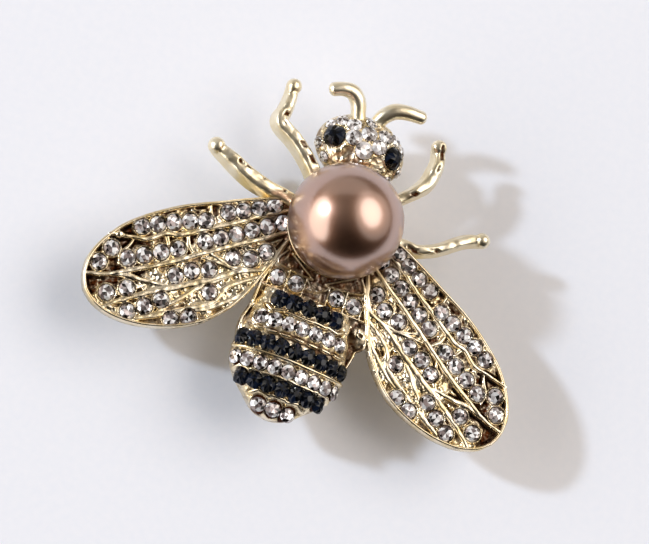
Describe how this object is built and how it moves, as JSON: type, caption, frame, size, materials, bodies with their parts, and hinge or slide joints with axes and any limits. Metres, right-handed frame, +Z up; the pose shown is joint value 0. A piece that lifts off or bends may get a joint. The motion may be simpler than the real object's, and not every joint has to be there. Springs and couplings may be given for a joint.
{
  "type": "insect brooch",
  "caption": "Bee brooch: cast gilt body and veined wings set with round stones, a large round pearl as the thorax, ridged legs, and a plain pin behind.",
  "frame": {"origin": "on the surface that the brooch lies on, under the middle of its outline seen from above", "axes": "+X across the wings, to the right as seen from above with the head up, +Y from the tail to the head, +Z up, away from the garment"},
  "size_m": [0.047, 0.0362, 0.0162],
  "materials": {
    "gilt_metal": "pale gold plate over a zinc alloy casting, bright on the ridges and darker in the recesses",
    "bronze_pearl": "bronze pearl lacquer, satin to bright",
    "clear_stone": "clear cut glass with a foiled back",
    "navy_stone": "dark navy cut stone, polished",
    "pin_metal": "bright pale plated steel"
  },
  "bodies": {
    "root": {"casting": "gilt_metal", "pearl": "bronze_pearl", "eye_left": "navy_stone", "eye_right": "navy_stone", "wing_stones_left": "clear_stone", "wing_stones_right": "clear_stone", "head_stones": "clear_stone", "collar_stones": "clear_stone", "stripe_1_navy": "navy_stone", "stripe_2_clear": "clear_stone", "stripe_3_navy": "navy_stone", "stripe_4_clear": "clear_stone", "stripe_5_navy": "navy_stone", "tail_stones": "clear_stone", "pin_back": "pin_metal"}
  },
  "joints": []
}
